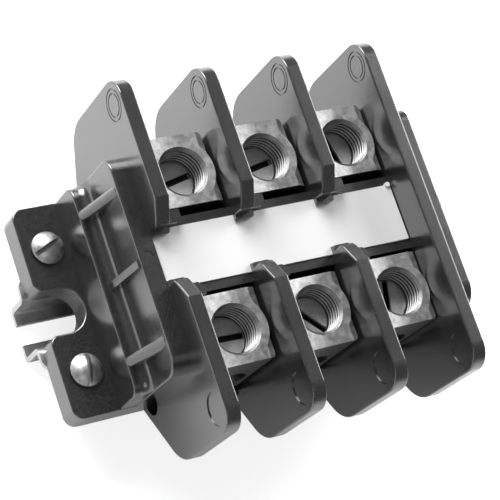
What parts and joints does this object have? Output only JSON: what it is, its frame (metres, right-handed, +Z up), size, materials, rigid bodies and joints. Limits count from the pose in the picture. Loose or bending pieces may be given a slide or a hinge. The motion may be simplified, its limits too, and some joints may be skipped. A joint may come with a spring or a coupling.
{
  "type": "terminal block",
  "caption": "Open power terminal block with barriers between poles, box lugs with slotted set screws, end brackets and a slotted mounting channel.",
  "frame": {"origin": "centre of the block at the underside of the mounting channel, where it rests on a panel", "axes": "+X along the row of poles, towards the unbroken end barrier; +Y across the block, towards the rear row of lugs; +Z up, away from the panel, the way the set screws come out"},
  "size_m": [0.1322, 0.0988, 0.0589],
  "materials": {
    "black_moulding": "gloss",
    "white_strip": "satin",
    "plated_channel": "bright zinc plate",
    "plated_lug": "tin plate",
    "plated_screw": "bright plate",
    "plated_bar": "tin plate",
    "plated_fastener": "bright zinc plate"
  },
  "bodies": {
    "block": {"pole_housing_1": "black_moulding", "pole_housing_2": "black_moulding", "pole_housing_3": "black_moulding", "end_barrier": "black_moulding", "left_bracket": "black_moulding", "right_bracket": "black_moulding", "marking_strip": "white_strip", "mounting_channel": "plated_channel", "lug_1_front": "plated_lug", "lug_1_rear": "plated_lug", "lug_2_front": "plated_lug", "lug_2_rear": "plated_lug", "lug_3_front": "plated_lug", "lug_3_rear": "plated_lug", "current_bar_1": "plated_bar", "current_bar_2": "plated_bar", "current_bar_3": "plated_bar", "bracket_screws": "plated_fastener", "clamp_nuts": "plated_fastener", "lug_screws": "plated_fastener"},
    "set_screw_1_front": {"set_screw_1_front": "plated_screw"},
    "set_screw_1_rear": {"set_screw_1_rear": "plated_screw"},
    "set_screw_2_front": {"set_screw_2_front": "plated_screw"},
    "set_screw_2_rear": {"set_screw_2_rear": "plated_screw"},
    "set_screw_3_front": {"set_screw_3_front": "plated_screw"},
    "set_screw_3_rear": {"set_screw_3_rear": "plated_screw"}
  },
  "joints": [
    {"name": "set_screw_1_front_travel", "type": "slide", "parent": "block", "child": "set_screw_1_front", "axis": [0, 0, 1], "range_m": [-0.0046, 0.0082]},
    {"name": "set_screw_1_rear_travel", "type": "slide", "parent": "block", "child": "set_screw_1_rear", "axis": [0, 0, 1], "range_m": [-0.0054, 0.0074]},
    {"name": "set_screw_2_front_travel", "type": "slide", "parent": "block", "child": "set_screw_2_front", "axis": [0, 0, 1], "range_m": [-0.0054, 0.0074]},
    {"name": "set_screw_2_rear_travel", "type": "slide", "parent": "block", "child": "set_screw_2_rear", "axis": [0, 0, 1], "range_m": [-0.0054, 0.0074]},
    {"name": "set_screw_3_front_travel", "type": "slide", "parent": "block", "child": "set_screw_3_front", "axis": [0, 0, 1], "range_m": [-0.0054, 0.0074]},
    {"name": "set_screw_3_rear_travel", "type": "slide", "parent": "block", "child": "set_screw_3_rear", "axis": [0, 0, 1], "range_m": [-0.0054, 0.0074]}
  ]
}
